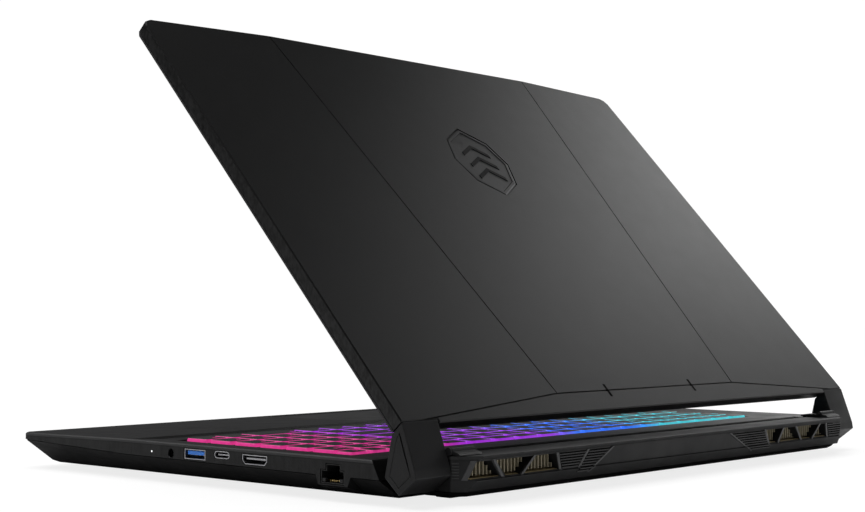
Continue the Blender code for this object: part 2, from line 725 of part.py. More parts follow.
def build_lid(hinge):
    rim_z = LID_SEAM_Z + GAP
    ceiling_z = LID_OUTER_Z - 1.6
    wall = 2.0
    plate = [(x, y, ceiling_z) for x, y, _ in lid_level(rim_z, wall)]
    cover = loft("lid_cover", [
        plate,
        lid_level(rim_z, wall),
        lid_level(rim_z),
        lid_level(LID_OUTER_Z - 0.5),
        lid_level(LID_OUTER_Z, 0.5),
    ], "lid_metal", hinge)
    groove = (LID_OUTER_Z - 0.35, LID_OUTER_Z + 1.0)
    crease = ribbon([(99.6, -252.0), (72.7, -21.2), (177.0, -11.6)], 0.7)
    for side, word in sides():
        outline = crease if side > 0 else flipped(crease)
        carve(cover, f"lid_crease_{word}", [(outline, "Z", *groove)])
    carve(cover, "lid_fold", [(rectangle(-72.6, -21.55, 72.6, -20.85), "Z", *groove)])
    carve(cover, "lid_slots", [
        (rectangle(x - 0.6, -23.2, x + 0.6, -18.0), "Z", LID_OUTER_Z - 0.9, LID_OUTER_Z + 1.0)
        for x in (-35.0, 35.0)
    ])
    carve(cover, "badge_recess", [(badge_outline(), "Z", LID_OUTER_Z - 0.8, LID_OUTER_Z + 1.0)])
    prism("lid_badge", badge_outline(0.975), "Z", LID_OUTER_Z - 0.5, LID_OUTER_Z - 0.1, "badge_gloss", hinge)

    bezel = loft("screen_bezel", [
        lid_level(LID_INNER_Z, 0.4),
        lid_level(LID_INNER_Z + 0.4),
        lid_level(LID_SEAM_Z),
    ], "bezel_black", hinge)
    carve(bezel, "screen_window", [(rectangle(*SCREEN_WINDOW), "Z", -4.0, 0.0)])
    carve(bezel, "camera_window", [(circle(0, -243.2, 2.0, 20), "Z", -4.0, 0.0)])
    x0, y0, x1, y1 = SCREEN_WINDOW
    block("display_panel", (x0 - 2, y0 - 2, rim_z), (x1 + 2, y1 + 2, 2.2), "screen_glass", hinge)
    camera = block("webcam_module", (-30, -246.2, rim_z), (30, -240.6, 0.8), "module_dark", hinge)
    join(camera, prism("camera_barrel", circle(0, -243.2, 1.6, 20), "Z", -2.2, -0.5, parent=hinge))

    leg = [
        (LEG_SEAM_Y, LID_OUTER_Z), (-9.3, 3.13), (5.2, -2.87), (8.0, -4.67), (7.1, -15.67),
        (-2.6, -16.67), (-12.2, -2.77),
    ]
    small = inset(leg, 0.6)
    for side, word in sides():
        loft(f"hinge_leg_{word}", [
            [(side * x, y, z) for y, z in outline]
            for x, outline in ((LEG_INNER_X, leg), (177.9, leg), (LID_HALF_WIDTH, small))
        ], "lid_metal", hinge)
        pin = prism(
            f"hinge_pin_{word}", circle(0, 0, PIN_RADIUS, 16), "X",
            *across(side, 141.5, 157.4), "bracket_steel", hinge,
        )
        start, stop = across(side, 156.9, 157.7)
        join(pin, prism(f"pin_flange_{word}", circle(0, 0, KNUCKLE_RADIUS, 16), "X", start, stop, parent=hinge))


# ---- the whole machine --------------------------------------------------------------
def build():
    for old in list(bpy.data.objects):
        bpy.data.objects.remove(old, do_unlink=True)
    build_lower_shell()
    build_upper_deck()
    build_rear_vent_panel()
    build_feet()
    build_keyboard()
    build_touchpad()
    build_sockets()
    build_inside()
    for side, word in sides():
        build_hinge_bracket(side, word)
    hinge = bpy.data.objects.new("lid_hinge", None)
    bpy.context.scene.collection.objects.link(hinge)
    hinge.location = mm(0, HINGE_Y, HINGE_Z)
    hinge.rotation_euler = (-LID_ANGLE, 0, 0)
    build_lid(hinge)


build()
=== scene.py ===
"""A studio view of the 15.6-inch gaming laptop computer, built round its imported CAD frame.

Frame: +X is the user's right, -Y the user's side, +Z up. The CAD works in millimetres and
Blender in metres, so lengths below are millimetres unless a name says otherwise.
"""
import math

import bmesh
import bpy
from mathutils import Matrix, Vector


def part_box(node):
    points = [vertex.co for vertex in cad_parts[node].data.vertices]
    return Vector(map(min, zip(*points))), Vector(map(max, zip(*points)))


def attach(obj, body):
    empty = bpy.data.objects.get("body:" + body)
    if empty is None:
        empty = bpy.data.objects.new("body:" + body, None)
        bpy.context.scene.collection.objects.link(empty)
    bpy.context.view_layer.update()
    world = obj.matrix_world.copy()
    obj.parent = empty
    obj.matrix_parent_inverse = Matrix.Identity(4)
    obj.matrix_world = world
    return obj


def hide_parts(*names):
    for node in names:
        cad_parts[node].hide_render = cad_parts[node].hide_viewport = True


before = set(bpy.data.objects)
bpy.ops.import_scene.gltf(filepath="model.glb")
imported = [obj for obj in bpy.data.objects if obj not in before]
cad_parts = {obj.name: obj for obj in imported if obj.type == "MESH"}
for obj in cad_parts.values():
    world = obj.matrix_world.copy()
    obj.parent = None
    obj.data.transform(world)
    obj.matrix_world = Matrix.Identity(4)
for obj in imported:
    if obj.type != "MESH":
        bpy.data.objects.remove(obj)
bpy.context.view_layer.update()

# ---- sizes shared with the CAD ------------------------------------------------------
SCALE = 0.001
HALF_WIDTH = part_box("upper_deck")[1].x / SCALE
DECK_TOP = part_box("upper_deck")[1].z / SCALE
KEY_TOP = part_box("space_bar")[1].z / SCALE
DECK_FRONT_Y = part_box("upper_deck")[0].y / SCALE
PALM_CREASE_Y = -50.0         # the palm rest slopes down from here to the front
DECK_FRONT_DROP = 1.1
DECK_SLOPE = DECK_FRONT_DROP / (PALM_CREASE_Y - DECK_FRONT_Y)

HINGE_Y = 119.2
HINGE_Z = 20.5
LID_ANGLE = math.radians(47.63)
LID_OUTER_Z = 4.43            # lid faces, in the lid's own coordinates
LID_INNER_Z = -2.57

KEY_GAP = 2.5
KEY_DEPTH = 13.45
KEY_ROW_PITCH = 15.95
KEY_FRONT_Y = -35.2
KEY_LEFT_X = -153.5
KEY_UNIT = 16.5
NUMPAD_LEFT_X = 95.6
NUMPAD_PITCH = 16.1
STRIP_FRONT_Y = 60.5
STRIP_REAR_Y = 69.8
STRIP_PITCH = 17.1
POWER_KEY_X = (149.4, 160.0)
CAP_BOTTOM = 15.1

MAIN_GROUPS = {
    "modifier_keys_left": [(0, 0, (1.25, 1, 1, 1))],
    "space_bar": [(0, 4.25, (5.75,))],
    "modifier_keys_right": [(0, 10, (1, 1))],
    "arrow_keys": [(0, 12, (1, 1, 1)), (1, 13, (1, 1))],
    "shift_keys": [(1, 0, (2,) + (1,) * 11)],
    "home_keys": [(2, 0, (1.75,) + (1,) * 11)],
    "enter_key": [(2, 12.75, (2.25,))],
    "qwerty_keys": [(3, 0, (1.5,) + (1,) * 12 + (1.5,))],
    "number_keys": [(4, 0, (1,) * 13)],
    "backspace_key": [(4, 13, (2,))],
    "esc_key": [(5, 0, (1,))],
    "function_keys": [(5, 1, (1,) * 14)],
}
LEGENDS = {                   # read from the left, a row at a time from the user's side
    "modifier_keys_left": "Ctrl Fn Win Alt",
    "space_bar": "-",
    "modifier_keys_right": "Alt Ctrl",
    "arrow_keys": "< v > ^ /",
    "shift_keys": "Shift Z X C V B N M , . / \\",
    "home_keys": "Caps A S D F G H J K L ; '",
    "enter_key": "Enter",
    "qwerty_keys": "Tab Q W E R T Y U I O P [ ] \\",
    "number_keys": "` 1 2 3 4 5 6 7 8 9 0 - =",
    "backspace_key": "Back",
    "esc_key": "Esc",
    "function_keys": "F1 F2 F3 F4 F5 F6 F7 F8 F9 F10 F11 F12 Ins Del",
    "numpad_keys": "0 . + 1 2 3 + 4 5 6 + 7 8 9 - Num / * - Hm Pu Pd End",
    "media_keys": "",
    "power_button": "I",
}


def mm(*values):
    """A vector in metres from millimetres."""
    return Vector(values) * SCALE


def lerp(a, b, share):
    return a + (b - a) * share


# ---- camera, lights, floor ----------------------------------------------------------
CAMERA_PLACE = (0.62324, 0.51611, 0.07448)      # metres
CAMERA_HEADING, CAMERA_PITCH, CAMERA_ROLL = 131.04, 91.97, 0.12
CAMERA_LENS, CAMERA_SENSOR, CAMERA_SHIFT = 66.15, 36.0, 0.0005

SUN_STRENGTH, SUN_WIDTH, SUN_TILT = 2.7, 66, (17, 9)
SOFTBOXES = [                                   # name, place, target, size, watts
    ("side_softbox", (-1.6, -0.33, 0.71), (0, 0.02, 0.10), 0.80, 6.9),
    ("corner_softbox", (-1.5, 0.72, 0.38), (-0.1, 0.12, 0.01), 0.50, 1.0),
    ("rear_softbox", (0.15, 1.7, 0.55), (0.02, 0.1, 0.03), 1.1, 1.3),
]
WORLD_SEEN, WORLD_LIT = 1.02, 0.045             # for the camera, and for everything else
FLOOR_SIZE, FLOOR_DROP = 7.0, 0.0002
FLOOR_GLOW, FLOOR_GLOW_SHARE = 1.1, 0.74        # keeps the paper white for the camera


def turned(axis, degrees):
    return Matrix.Rotation(math.radians(degrees), 3, axis)


def make_camera():
    data = bpy.data.cameras.new("studio_camera")
    data.lens = CAMERA_LENS
    data.sensor_width = CAMERA_SENSOR
    data.clip_start = 0.01
    camera = bpy.data.objects.new("studio_camera", data)
    bpy.context.scene.collection.objects.link(camera)
    camera.location = CAMERA_PLACE
    turn = turned("Z", CAMERA_HEADING) @ turned("X", CAMERA_PITCH) @ turned("Z", CAMERA_ROLL)
    camera.rotation_euler = turn.to_euler()
    data.shift_x = CAMERA_SHIFT
    bpy.context.scene.camera = camera


def area_light(name, place, target, size, watts):
    data = bpy.data.lights.new(name, "AREA")
    data.shape = "SQUARE"
    data.size = size
    data.energy = watts
    lamp = bpy.data.objects.new(name, data)
    bpy.context.scene.collection.objects.link(lamp)
    lamp.location = place
    lamp.rotation_euler = (Vector(target) - Vector(place)).to_track_quat("-Z", "Y").to_euler()


def make_lights():
    sun_data = bpy.data.lights.new("overhead", "SUN")
    sun_data.energy = SUN_STRENGTH
    sun_data.angle = math.radians(SUN_WIDTH)
    sun = bpy.data.objects.new("overhead", sun_data)
    bpy.context.scene.collection.objects.link(sun)
    sun.rotation_euler = (math.radians(SUN_TILT[0]), math.radians(SUN_TILT[1]), 0)
    for softbox in SOFTBOXES:
        area_light(*softbox)


def make_world():
    """White to the camera, and dim to everything that it lights."""
    world = bpy.data.worlds.new("studio")
    bpy.context.scene.world = world
    world.use_nodes = True
    tree = world.node_tree
    tree.nodes.clear()
    out = tree.nodes.new("ShaderNodeOutputWorld")
    mix = tree.nodes.new("ShaderNodeMixShader")
    rays = tree.nodes.new("ShaderNodeLightPath")
    tree.links.new(rays.outputs["Is Camera Ray"], mix.inputs[0])
    for slot, strength in ((1, WORLD_LIT), (2, WORLD_SEEN)):
        light = tree.nodes.new("ShaderNodeBackground")
        light.inputs["Color"].default_value = (1.0, 1.0, 1.0, 1.0)
        light.inputs["Strength"].default_value = strength
        tree.links.new(light.outputs[0], mix.inputs[slot])
    tree.links.new(mix.outputs[0], out.inputs["Surface"])

    view = bpy.context.scene.view_settings
    view.view_transform = "Standard"
    view.look = "None"


def make_floor():
    """A paper floor, partly self-lit for the camera and clear from below."""
    bm = bmesh.new()
    bmesh.ops.create_grid(bm, x_segments=8, y_segments=8, size=FLOOR_SIZE)
    mesh = bpy.data.meshes.new("floor")
    bm.to_mesh(mesh)
    bm.free()
    floor = bpy.data.objects.new("floor", mesh)
    bpy.context.scene.collection.objects.link(floor)
    floor.location.z = -FLOOR_DROP
    look = Look("floor_paper", 0.8, specular=0.1)
    look.colour(look.blend(look.noise(3.0), (0.90, 0.90, 0.90), (0.93, 0.93, 0.93)))
    glow = look.node("ShaderNodeEmission", {"Color": (1.0, 1.0, 1.0), "Strength": FLOOR_GLOW})
    seen = look.node("ShaderNodeLightPath").outputs["Is Camera Ray"]
    share = look.math("MULTIPLY", seen, FLOOR_GLOW_SHARE)
    mixed = look.node("ShaderNodeMixShader", {0: share, 1: look.shader.outputs[0], 2: glow.outputs[0]})
    below = look.node("ShaderNodeNewGeometry").outputs["Backfacing"]
    clear = look.node("ShaderNodeBsdfTransparent")
    sided = look.node("ShaderNodeMixShader", {0: below, 1: mixed.outputs[0], 2: clear.outputs[0]})
    look.feed(look.tree.nodes["Material Output"].inputs["Surface"], sided.outputs[0])
    mesh.materials.append(look.made)


# ---- materials ----------------------------------------------------------------------
def four(colour):
    return (*colour[:3], 1.0)


def times(colour, factor):
    return tuple(min(1.0, part * factor) for part in colour[:3])


class Look:
    """A material and short ways of adding nodes to it; it works in object coordinates."""

    def __init__(self, name, roughness, metallic=0.0, specular=0.5):
        self.specular = specular
        self.made = bpy.data.materials.new(name)
        self.made.use_nodes = True
        self.tree = self.made.node_tree
        self.shader = self.tree.nodes["Principled BSDF"]
        self.shader.inputs["Roughness"].default_value = roughness
        self.shader.inputs["Metallic"].default_value = metallic
        self.shader.inputs["Specular IOR Level"].default_value = specular
        coords = self.node("ShaderNodeTexCoord")
        self.position = coords.outputs["Object"]
        self.facing = coords.outputs["Normal"]

    def node(self, kind, inputs=None, **settings):
        made = self.tree.nodes.new(kind)
        for key, value in settings.items():
            setattr(made, key, value)
        for key, value in (inputs or {}).items():
            self.feed(made.inputs[key], value)
        return made

    def feed(self, socket, value):
        if isinstance(value, bpy.types.NodeSocket):
            self.tree.links.new(value, socket)
        elif isinstance(value, (tuple, list)) and len(value) == 3 and socket.type == "RGBA":
            socket.default_value = four(value)
        else:
            socket.default_value = value

    def math(self, operation, a, b=0.0, c=None):
        inputs = {0: a, 1: b}
        if c is not None:
            inputs[2] = c
        return self.node("ShaderNodeMath", inputs, operation=operation).outputs[0]

    def stretched(self, scale, turn=(0, 0, 0)):
        inputs = {"Vector": self.position, "Scale": scale, "Rotation": turn}
        return self.node("ShaderNodeMapping", inputs).outputs[0]

    def noise(self, scale, detail=3.0, vector=None):
        inputs = {"Vector": vector or self.position, "Scale": scale, "Detail": detail}
        return self.node("ShaderNodeTexNoise", inputs).outputs[0]

    def between(self, value, low, high, to_low=0.0, to_high=1.0):
        inputs = {"Value": value, "From Min": low, "From Max": high, "To Min": to_low, "To Max": to_high}
        return self.node("ShaderNodeMapRange", inputs).outputs[0]

    def blend(self, factor, a, b):
        made = self.node("ShaderNodeMix", data_type="RGBA")
        self.feed(made.inputs[0], factor)
        self.feed(made.inputs[6], a)
        self.feed(made.inputs[7], b)
        return made.outputs[2]

    def ramp(self, factor, stops):
        made = self.node("ShaderNodeValToRGB", {0: factor})
        elements = made.color_ramp.elements
        while len(elements) < len(stops):
            elements.new(0.5)
        for element, (place, colour) in zip(elements, stops):
            element.position = place
            element.color = four(colour)
        return made.outputs[0]

    def parts(self, vector):
        return self.node("ShaderNodeSeparateXYZ", {0: vector}).outputs

    def edges(self, radius):
        """1 along convex and concave edges, 0 on flat ground."""
        bevel = self.node("ShaderNodeBevel", {"Radius": radius}, samples=4)
        normal = self.node("ShaderNodeNewGeometry").outputs["Normal"]
        dot = self.node("ShaderNodeVectorMath", {0: bevel.outputs[0], 1: normal}, operation="DOT_PRODUCT")
        return self.between(dot.outputs["Value"], 0.995, 0.86)

    def colour(self, socket):
        self.feed(self.shader.inputs["Base Color"], socket)

    def bump(self, height, strength, distance=0.0002):
        inputs = {"Strength": strength, "Distance": distance, "Height": height}
        self.feed(self.shader.inputs["Normal"], self.node("ShaderNodeBump", inputs).outputs[0])


WEAR_RADIUS = 0.0004          # metres from an edge
WEAVE_PITCH = 0.0011


def surface(
    name, colour, roughness, specular=0.5, grain=1500.0, strength=0.25,
    mottle=0.12, wear=0.35, hatch=None, tint=None, smudging=1.0,
):
    """A moulded or machined finish: mottled colour, fine grain, worn edges."""
    look = Look(name, roughness, specular=specular)
    broad = look.noise(38.0, 4.0)
    base = look.blend(broad, times(colour, 1 - mottle), times(colour, 1 + mottle))
    if tint:
        base = tint(look, base)
    if wear:
        patchy = look.between(look.noise(210.0, 2.0), 0.38, 0.66)
        worn = look.math("MULTIPLY", look.edges(WEAR_RADIUS), patchy)
        worn = look.math("MULTIPLY", worn, wear)
        lighter = tuple(part * 2.4 + 0.02 for part in colour)
        base = look.blend(worn, base, lighter)
    look.colour(base)
    smudge = look.noise(90.0, 4.0)
    clean, greasy = max(0.02, roughness - 0.05 * smudging), min(1.0, roughness + 0.07 * smudging)
    look.feed(look.shader.inputs["Roughness"], look.between(smudge, 0.3, 0.7, clean, greasy))
    height = look.noise(grain, 2.0)
    if hatch:
        height = hatch(look, height)
    look.bump(height, strength)
    return look.made


def woven_sides(look, height):
    """Adds a fine woven grain to the surfaces that face sideways, as on the side band."""
    diagonal = look.stretched((1.0, 1.0, 1.0), (math.radians(45), 0, 0))
    cells = look.node(
        "ShaderNodeTexVoronoi",
        {"Vector": diagonal, "Scale": 1 / WEAVE_PITCH, "Randomness": 0.0},
        distance="CHEBYCHEV",
    ).outputs["Distance"]
    upright = look.noise(1.0, 2.0, look.stretched((300.0, 900.0, 160.0)))
    pattern = look.math("ADD", cells, look.math("MULTIPLY", upright, 0.9))
    sideways = look.math("ABSOLUTE", look.parts(look.facing)[0])
    mask = look.between(sideways, 0.72, 0.86)
    return look.math("ADD", height, look.math("MULTIPLY", pattern, look.math("MULTIPLY", mask, 1.6)))


def side_tint(look, base):
    """Streaks on the faces that look sideways, and a dull chamfer beside them."""
    sideways = look.math("ABSOLUTE", look.parts(look.facing)[0])
    streak = look.noise(1.0, 3.0, look.stretched((900.0, 900.0, 420.0)))
    streaky = look.blend(look.between(streak, 0.35, 0.65), (0.003, 0.003, 0.003), (0.022, 0.022, 0.0225))
    base = look.blend(look.math("MULTIPLY", look.between(sideways, 0.72, 0.86), 0.85), base, streaky)
    rim = look.math("SUBTRACT", look.between(sideways, 0.12, 0.22), look.between(sideways, 0.93, 0.97))
    look.feed(look.shader.inputs["Specular IOR Level"], look.between(rim, 0.0, 1.0, look.specular, 0.04))
    return base


def deck_streaks_and_painted_light(look, base):
    """Below the deck's lip: a dark parting line, and a band with a faint upright streak; a painted highlight
    along the lip, and near-black painted shade on the faces that look towards the rear.
    """
    _, y, z = look.parts(look.position)
    ahead = look.math("SUBTRACT", PALM_CREASE_Y * SCALE, y)
    drop = look.math("MULTIPLY", look.math("MAXIMUM", ahead, 0.0), DECK_SLOPE)
    depth = look.math("SUBTRACT", look.math("SUBTRACT", DECK_TOP * SCALE, drop), z)
    line = look.math("COMPARE", depth, 0.00155, 0.00021)
    lip = look.math("LESS_THAN", depth, 0.00137)
    sideways = look.math("GREATER_THAN", look.math("ABSOLUTE", look.parts(look.facing)[0]), 0.6)
    streak = look.noise(1.0, 3.0, look.stretched((200.0, 420.0, 90.0)))
    streaky = look.blend(look.between(streak, 0.3, 0.7), (0.003, 0.003, 0.003), (0.014, 0.014, 0.0145))
    base = look.blend(look.math("MULTIPLY", sideways, 0.85), base, streaky)
    # Painted highlight: the lip of the deck's side faces is painted lighter.
    lip_painted_highlight = look.math("MULTIPLY", look.math("MULTIPLY", lip, sideways), 0.8)
    base = look.blend(lip_painted_highlight, base, (0.040, 0.040, 0.041))
    base = look.blend(look.math("MULTIPLY", line, sideways), base, (0.001, 0.001, 0.001))
    # Painted shade: the faces that look towards the rear are painted near-black.
    rear_faces_painted_shade = look.math("GREATER_THAN", look.parts(look.facing)[1], 0.3)
    return look.blend(rear_faces_painted_shade, base, (0.0005, 0.0005, 0.0005))


GLOW_HALF_SPAN = 162.5
GLOW_STOPS = [
    (0.00, (0.070, 0.580, 0.640)),
    (0.285, (0.075, 0.570, 0.680)),
    (0.335, (0.050, 0.320, 0.980)),
    (0.375, (0.035, 0.180, 0.980)),
    (0.515, (0.045, 0.190, 0.980)),
    (0.575, (0.330, 0.050, 0.760)),
    (0.770, (0.350, 0.028, 0.620)),
    (0.830, (0.560, 0.034, 0.260)),
    (1.00, (0.600, 0.036, 0.215)),
]


def glow_colour(look):
    """The backlight's colour, from cyan at the user's left to pink at the right."""
    x = look.parts(look.position)[0]
    return look.ramp(look.between(x, -GLOW_HALF_SPAN * SCALE, GLOW_HALF_SPAN * SCALE), GLOW_STOPS)


def glow_wall(name, strength, low, high, dark):
    """A wall that the backlight tints and lights: dark is its brightness at the top."""
    look = Look(name, 0.45, specular=0.3)
    tint = glow_colour(look)
    height = look.between(look.parts(look.position)[2], low * SCALE, high * SCALE)
    uneven = look.between(look.noise(420.0, 2.0), 0.25, 0.75, 0.78, 1.12)
    fade = look.math("MULTIPLY", look.between(height, 0.0, 1.0, 1.0, dark), uneven)
    look.colour(look.blend(0.8, (0.02, 0.02, 0.02), tint))
    look.feed(look.shader.inputs["Emission Color"], look.blend(fade, (0, 0, 0), tint))
    look.shader.inputs["Emission Strength"].default_value = strength
    look.bump(look.noise(1400.0), 0.1)
    return look.made


def metal(name, colour, roughness, brushed=(1.0, 60.0, 60.0), metallic=1.0):
    """Rolled or plated metal with a brushed direction."""
    look = Look(name, roughness, metallic)
    lines = look.noise(28.0, 3.0, look.stretched(brushed))
    base = look.blend(lines, times(colour, 0.82), times(colour, 1.12))
    stain = look.between(look.noise(150.0, 4.0), 0.35, 0.75)
    base = look.blend(look.math("MULTIPLY", stain, 0.2), base, times(colour, 0.6))
    look.colour(base)
    polish = look.between(lines, 0.3, 0.7, roughness - 0.05, roughness + 0.1)
    look.feed(look.shader.inputs["Roughness"], polish)
    look.bump(lines, 0.12, 0.0001)
    return look.made


def panel_painted_light(look, base):
    """Painted light on the vent panel: a painted highlight on the spoiler strip and on the lower lip,
    painted shade just under the spoiler strip, and near-black painted shade on the faces that look towards
    the front.
    """
    z = look.parts(look.position)[2]
    # Painted highlight: the spoiler strip along the top is painted lighter.
    strip = look.between(z, 0.0171, 0.0176)
    base = look.blend(look.math("MULTIPLY", strip, 0.75), base, (0.019, 0.019, 0.0195))
    # Painted shade: a dark band just under the spoiler strip's edge.
    under = look.math("COMPARE", z, 0.01705, 0.00030)
    base = look.blend(look.math("MULTIPLY", under, 0.9), base, (0.002, 0.002, 0.002))
    # Painted shade: the faces that look towards the front are painted near-black.
    ahead = look.math("LESS_THAN", look.parts(look.facing)[1], -0.2)
    base = look.blend(ahead, base, (0.0005, 0.0005, 0.0005))
    # Painted highlight: the lower lip is painted lighter.
    lip = look.math("COMPARE", z, 0.0072, 0.0021)
    return look.blend(look.math("MULTIPLY", lip, 0.45), base, (0.016, 0.016, 0.0165))


def make_looks():
    looks = {
        "deck": surface(
            "deck_satin", (0.009, 0.009, 0.0095), 0.50, specular=0.25, strength=0.15,
            hatch=woven_sides, tint=deck_streaks_and_painted_light,
        ),
        "cover": surface(
            "cover_satin", (0.0030, 0.0030, 0.0032), 0.55, specular=0.08, strength=0.2, wear=0.15,
        ),
        "vent_panel": surface(
            "vent_panel_satin", (0.0085, 0.0085, 0.009), 0.54, specular=0.28, strength=0.12,
            tint=panel_painted_light,
        ),
        "lid": surface(
            "lid_anodised", (0.0050, 0.0050, 0.0052), 0.385, specular=0.24, grain=2200.0,
            strength=0.10, mottle=0.05, wear=0.06, hatch=woven_sides, tint=side_tint, smudging=0.2,
        ),
        "leg": surface(
            "leg_satin", (0.009, 0.009, 0.0095), 0.45, specular=0.30, grain=2000.0,
            strength=0.15, wear=0.2, hatch=woven_sides,
        ),
        "bezel": surface("bezel_texture", (0.010, 0.010, 0.011), 0.58, grain=1200.0, strength=0.5),
        "keycap": surface("keycap_top", (0.010, 0.010, 0.011), 0.48, grain=1700.0, strength=0.3, wear=0.0),
        "touch": surface("touch_satin", (0.020, 0.020, 0.021), 0.33, grain=2600.0, strength=0.08),
        "rubber": surface("foot_rubber_grain", (0.012, 0.012, 0.012), 0.85, grain=900.0, strength=0.6),
        "socket_black": surface("socket_black_moulded", (0.006, 0.006, 0.006), 0.5, grain=1800.0, wear=0.15),
        "module": surface("module_epoxy", (0.030, 0.030, 0.034), 0.42, grain=1300.0),
        "cells": surface("cell_wrap_foil", (0.018, 0.018, 0.020), 0.55, grain=500.0, strength=0.4),
        "board": surface("board_mask", (0.008, 0.050, 0.026), 0.42, grain=700.0, strength=0.5),
        "fan": surface("fan_moulded", (0.014, 0.014, 0.015), 0.5, grain=1500.0),
        # A lighter grey that stands in for light on bevelled fronts: a painted highlight on the vent struts;
        # the touchpad's rim uses it too.
        "facing": surface("strut_painted_highlight", (0.045, 0.045, 0.046), 0.42, specular=0.4, wear=0.4),
        # Painted highlight: the vent ribs are a lighter copy of the panel's plastic.
        "rib": surface("rib_painted_highlight", (0.030, 0.030, 0.031), 0.48, specular=0.3, wear=0.2),
        # Painted shade: near-black plates between the vent ribs, in the lid's slots and in the speaker
        # grille's slots.
        "groove": surface("painted_shade_black", (0.001, 0.001, 0.001), 0.8, specular=0.04, wear=0.0),
        "screw": metal("screw_black", (0.045, 0.045, 0.047), 0.38),
        "steel": metal("socket_steel_rim", (0.46, 0.46, 0.48), 0.30),
        "bracket": metal("bracket_plated", (0.012, 0.012, 0.0125), 0.5, metallic=0.2),
        "frame_metal": metal("pressed_sheet", (0.20, 0.20, 0.21), 0.42),
        "copper": metal("copper_pipe", (0.62, 0.30, 0.16), 0.32, brushed=(60.0, 1.0, 60.0)),
        "fins": metal("fin_bronze_sheet", (0.33, 0.29, 0.20), 0.50, brushed=(4.0, 60.0, 2.0), metallic=0.3),
        "ledge": metal("ledge_brass", (0.30, 0.235, 0.12), 0.48, metallic=0.5),
        "contact": metal("contact_gold", (0.72, 0.52, 0.22), 0.30),
        "badge": surface(
            "badge_gloss_black", (0.006, 0.006, 0.0065), 0.34, specular=0.3, strength=0.04, wear=0.0,
        ),
        "badge_line": surface(
            "badge_line_dark", (0.002, 0.002, 0.002), 0.60, specular=0.1, strength=0.05, wear=0.0,
        ),
        "blue": surface("tongue_blue", (0.035, 0.235, 0.850), 0.40, grain=1500.0, wear=0.2),
        "glass": surface(
            "screen_glass_dark", (0.0035, 0.0035, 0.0042), 0.10, strength=0.01, wear=0.0,
        ),
        "lens": surface("lens_glass", (0.004, 0.004, 0.010), 0.06, strength=0.01, wear=0.0),
        "glow_wall": glow_wall("keycap_glow", 1.15, CAP_BOTTOM, KEY_TOP, 0.75),
        "glow_sheet": glow_wall("backlight_sheet", 0.35, 13.4, 13.8, 1.0),
        "glow_legend": glow_wall("legend_glow", 0.75, 10.0, 40.0, 1.0),
    }
    led = Look("status_light", 0.3)
    led.colour(led.blend(led.noise(900.0), (0.8, 0.8, 0.8), (0.95, 0.95, 0.95)))
    led.shader.inputs["Emission Color"].default_value = (1, 1, 1, 1)
    led.shader.inputs["Emission Strength"].default_value = 0.8
    looks["led"] = led.made
    return looks


# ---- mesh building ------------------------------------------------------------------
def piece(name, bm, looks, body, replaces=()):
    """Turns a bmesh into a piece that rides on a body."""
    bmesh.ops.recalc_face_normals(bm, faces=bm.faces)
    mesh = bpy.data.meshes.new(name)
    bm.to_mesh(mesh)
    bm.free()
    for look in looks:
        mesh.materials.append(LOOKS[look])
    made = bpy.data.objects.new(name, mesh)
    bpy.context.scene.collection.objects.link(made)
    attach(made, body)
    if replaces:
        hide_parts(*replaces)
    return made


WELD_DISTANCE = 0.000002
SHARPEST_LEFT = 35.0          # degrees: an edge that turns more than this is rounded


def soften(made, width):
    """Rounds the sharp edges of a piece or of a carried-over CAD node."""
    weld = made.modifiers.new("weld", "WELD")
    weld.merge_threshold = WELD_DISTANCE
    bevel = made.modifiers.new("rounded_edges", "BEVEL")
    bevel.width = width * SCALE
    bevel.segments = 2
    bevel.limit_method = "ANGLE"
    bevel.angle_limit = math.radians(SHARPEST_LEFT)
    bevel.use_clamp_overlap = True


def lid_matrix():
    """From lid coordinates (shut, origin on the hinge axis) to the open lid at rest."""
    return Matrix.Translation(mm(0, HINGE_Y, HINGE_Z)) @ Matrix.Rotation(-LID_ANGLE, 4, "X")


def add_prism(bm, outline, axis, start, stop, index=0):
    """An outline extruded along an axis: (y, z) for X, (x, z) for Y, (x, y) for Z."""
    def point(a, b, along):
        if axis == "X":
            return mm(along, a, b)
        if axis == "Y":
            return mm(a, along, b)
        return mm(a, b, along)

    low = [bm.verts.new(point(a, b, start)) for a, b in outline]
    high = [bm.verts.new(point(a, b, stop)) for a, b in outline]
    faces = [bm.faces.new(low), bm.faces.new(high)]
    for i in range(len(outline)):
        j = (i + 1) % len(outline)
        faces.append(bm.faces.new((low[i], low[j], high[j], high[i])))
    for face in faces:
        face.material_index = index
    return faces


def add_bar(bm, a, b, c, d, lift, index=0):
    """A thin plate from four corners in metres, thickened along a lift vector."""
    low = [bm.verts.new(p) for p in (a, b, c, d)]
    high = [bm.verts.new(p + lift) for p in (a, b, c, d)]
    faces = [bm.faces.new(low), bm.faces.new(high)]
    for i in range(4):
        j = (i + 1) % 4
        faces.append(bm.faces.new((low[i], low[j], high[j], high[i])))
    for face in faces:
        face.material_index = index


def rectangle(x0, y0, x1, y1):
    return [(x0, y0), (x1, y0), (x1, y1), (x0, y1)]


def circle(cx, cy, radius, count):
    turn = 2 * math.pi / count
    return [(cx + radius * math.cos(i * turn), cy + radius * math.sin(i * turn)) for i in range(count)]


def rounded(x0, y0, x1, y1, radius, steps=4):
    """A rectangle's outline with round corners, counterclockwise."""
    points = []
    for cx, cy, start in (
        (x1 - radius, y0 + radius, -90), (x1 - radius, y1 - radius, 0),
        (x0 + radius, y1 - radius, 90), (x0 + radius, y0 + radius, 180),
    ):
        for step in range(steps + 1):
            angle = math.radians(start + 90.0 * step / steps)
            points.append((cx + radius * math.cos(angle), cy + radius * math.sin(angle)))
    return points


